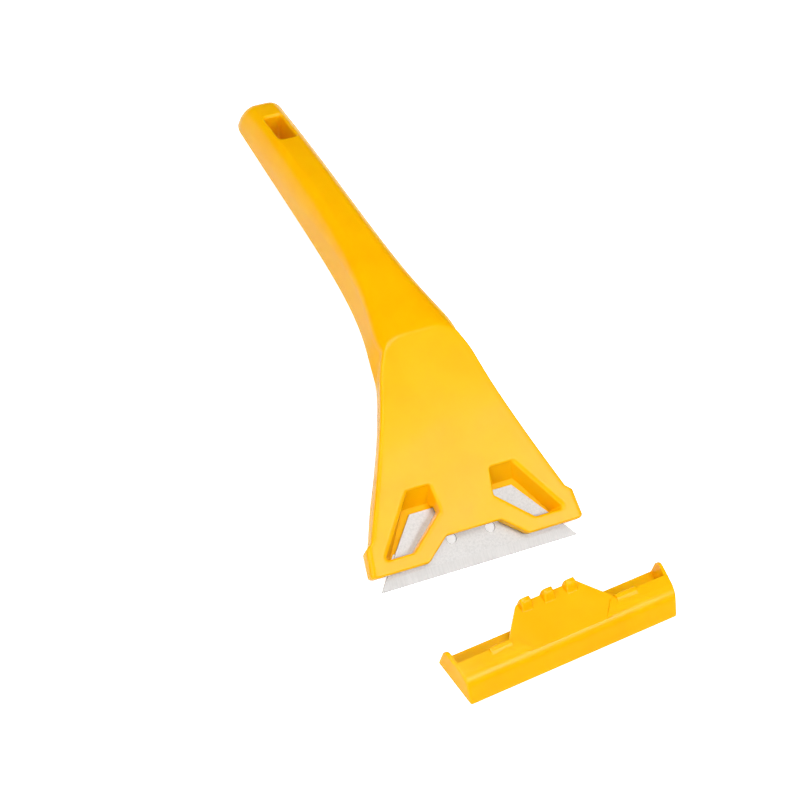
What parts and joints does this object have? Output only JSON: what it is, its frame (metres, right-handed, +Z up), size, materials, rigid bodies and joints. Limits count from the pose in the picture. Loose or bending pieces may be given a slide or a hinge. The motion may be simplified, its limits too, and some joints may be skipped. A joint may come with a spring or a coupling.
{
  "type": "hand scraper",
  "caption": "Yellow moulded hand scraper with an arched grip, a flared head holding a trapezoid blade behind two windows, and its slip-on blade guard lying in front.",
  "frame": {"origin": "middle of the bounding box on the ground plane, tool and guard together", "axes": "+X along the cutting edge, +Y from the edge towards the handle's tip, +Z up with the tool lying on its edge and the tip of its handle"},
  "size_m": [0.0802, 0.2048, 0.0338],
  "materials": {
    "yellow_plastic": "injection-moulded polypropylene, semi-gloss",
    "blade_steel": "hardened carbon steel, fine ground faces"
  },
  "bodies": {
    "tool": {"scraper_body": "yellow_plastic"},
    "blade": {"trapezoid_blade": "blade_steel"},
    "guard": {"blade_guard": "yellow_plastic"}
  },
  "joints": [
    {"name": "blade_slide", "type": "slide", "parent": "tool", "child": "blade", "axis": [0, -0.9224, -0.3863], "range_m": [0, 0.015]},
    {"name": "guard_slide", "type": "slide", "parent": "tool", "child": "guard", "axis": [0.0941, -0.9956, 0], "range_m": [0, 0.03]}
  ]
}
